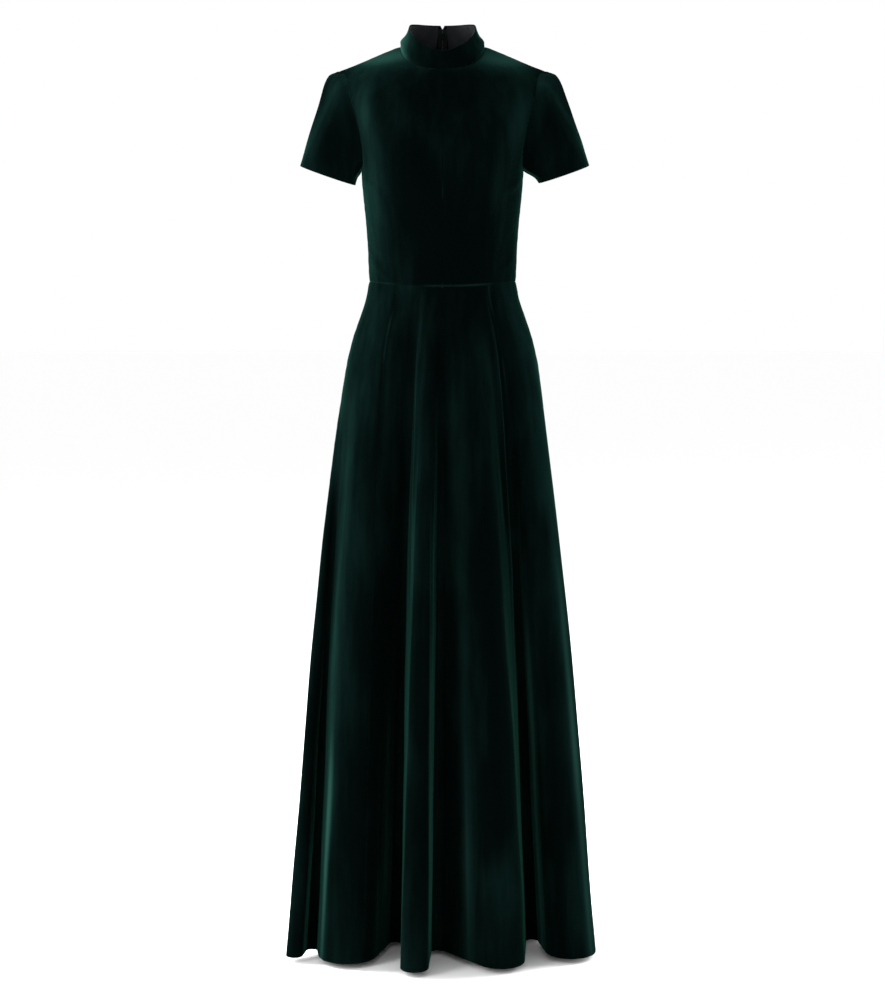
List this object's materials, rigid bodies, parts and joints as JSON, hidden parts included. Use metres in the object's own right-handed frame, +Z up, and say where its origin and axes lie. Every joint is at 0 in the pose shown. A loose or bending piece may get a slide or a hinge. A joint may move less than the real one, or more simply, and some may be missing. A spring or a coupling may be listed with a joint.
{
  "type": "evening gown",
  "caption": "Full-length fitted gown with a stand collar, short set-in sleeves, a waist seam and a flared skirt in deep folds, filled out as worn.",
  "frame": {"origin": "between the wearer's shoulders, on the level where the collar meets them at the sides", "axes": "+Z up, -Y to the front of the gown, +X to the wearer's left"},
  "size_m": [0.5339, 0.3863, 1.5751],
  "materials": {
    "velvet": "deep bottle-green pile velvet",
    "lining": "charcoal plain-weave lining",
    "zip_tape": "black woven tape",
    "zip_metal": "dark green lacquer"
  },
  "bodies": {
    "gown": {"bodice_front_right": "velvet", "bodice_front_left": "velvet", "bodice_back_right": "velvet", "bodice_back_left": "velvet", "sleeve_right": "velvet", "sleeve_left": "velvet", "collar": "velvet", "collar_lining": "lining", "skirt_front_right": "velvet", "skirt_front_left": "velvet", "skirt_side_front_right": "velvet", "skirt_side_front_left": "velvet", "skirt_side_back_right": "velvet", "skirt_side_back_left": "velvet", "skirt_back_right": "velvet", "skirt_back_left": "velvet", "zip_tape_right": "zip_tape", "zip_tape_left": "zip_tape", "zip_slider": "zip_metal"},
    "pull": {"zip_pull": "zip_metal"}
  },
  "joints": [
    {"name": "zip_pull_swing", "type": "hinge", "parent": "gown", "child": "pull", "pos_m": [0, 0.05551, 0.01893], "axis": [1, 0, 0], "range_deg": [0, 165]}
  ]
}
